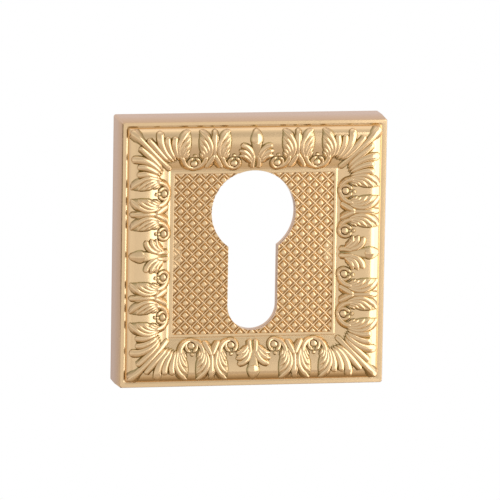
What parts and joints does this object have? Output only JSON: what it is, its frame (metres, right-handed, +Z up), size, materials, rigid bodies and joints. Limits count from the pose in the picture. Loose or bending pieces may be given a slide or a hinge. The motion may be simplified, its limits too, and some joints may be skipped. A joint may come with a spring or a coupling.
{
  "type": "keyhole escutcheon",
  "caption": "Square cast escutcheon with an acanthus-carved cushion border, a sunk lattice panel and a profile-cylinder keyhole, bolted through the door from behind.",
  "frame": {"origin": "middle of the back face, which lies on the door", "axes": "+Z up the door, -Y out of the door towards the viewer, +X to the viewer's right"},
  "size_m": [0.0554, 0.0117, 0.0554],
  "materials": {
    "gilded_casting": "polished soft gold plating over a die-cast body, darker in the hollows of the carving"
  },
  "bodies": {
    "root": {"cover": "gilded_casting"}
  },
  "joints": []
}
